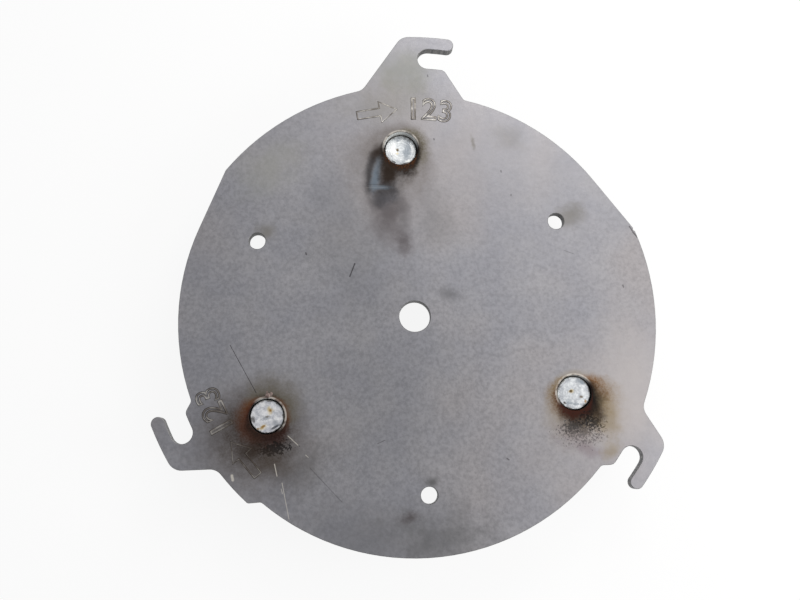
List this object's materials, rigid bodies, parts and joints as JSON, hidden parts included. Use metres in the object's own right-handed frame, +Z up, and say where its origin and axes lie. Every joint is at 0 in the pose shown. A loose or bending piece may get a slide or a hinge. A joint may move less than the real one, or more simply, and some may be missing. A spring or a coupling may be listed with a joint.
{
  "type": "blower mounting plate",
  "caption": "Flat round steel plate with bayonet hooks on its rim and welded standoff posts, which carries a blower motor and twists into place on a housing",
  "frame": {"origin": "on the plate's centre axis, in the plane of the posts' free ends on which the part rests", "axes": "+Z up, square to the plate and out of its marked front face; +Y from the centre through the post under the raised hook; +X to the right when the front face is looked at with that hook on top"},
  "size_m": [0.2201, 0.2305, 0.0302],
  "materials": {
    "plate_steel": "mill",
    "post_plating": "satin",
    "weld_metal": "rough"
  },
  "bodies": {
    "root": {"mounting_plate": "plate_steel", "post_top": "post_plating", "post_left": "post_plating", "post_right": "post_plating", "weld_top": "weld_metal", "weld_left": "weld_metal", "weld_right": "weld_metal"}
  },
  "joints": []
}
